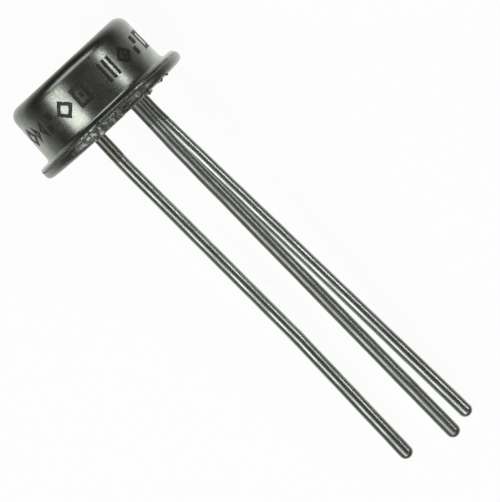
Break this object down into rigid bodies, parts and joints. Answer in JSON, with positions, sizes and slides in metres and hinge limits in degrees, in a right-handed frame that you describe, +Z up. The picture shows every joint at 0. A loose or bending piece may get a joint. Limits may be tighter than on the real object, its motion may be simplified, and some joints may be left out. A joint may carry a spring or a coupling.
{
  "type": "integrated circuit",
  "caption": "Integrated circuit in a small round metal can with a weld flange, an index tab and long round wire leads, lying on its side.",
  "frame": {"origin": "on the surface the part lies on, below the middle of its bounding box", "axes": "+X from the can towards the lead tips, +Z up; the index tab points up"},
  "size_m": [0.0168, 0.0056, 0.0065],
  "materials": {
    "cap_plate": "satin",
    "header_plate": "satin",
    "lead_solder": "gloss",
    "seal_glass": "gloss",
    "braze": "satin",
    "attach_gold": "satin",
    "silicon": "gloss",
    "bond_aluminium": "satin"
  },
  "bodies": {
    "root": {"cap": "cap_plate", "header": "header_plate", "lead_1": "lead_solder", "lead_2": "lead_solder", "lead_3": "lead_solder", "glass_seal_1": "seal_glass", "glass_seal_2": "seal_glass", "lead_3_braze": "braze", "die_attach": "attach_gold", "die": "silicon", "bond_wire_1": "bond_aluminium", "bond_wire_2": "bond_aluminium", "bond_wire_3": "bond_aluminium"}
  },
  "joints": []
}
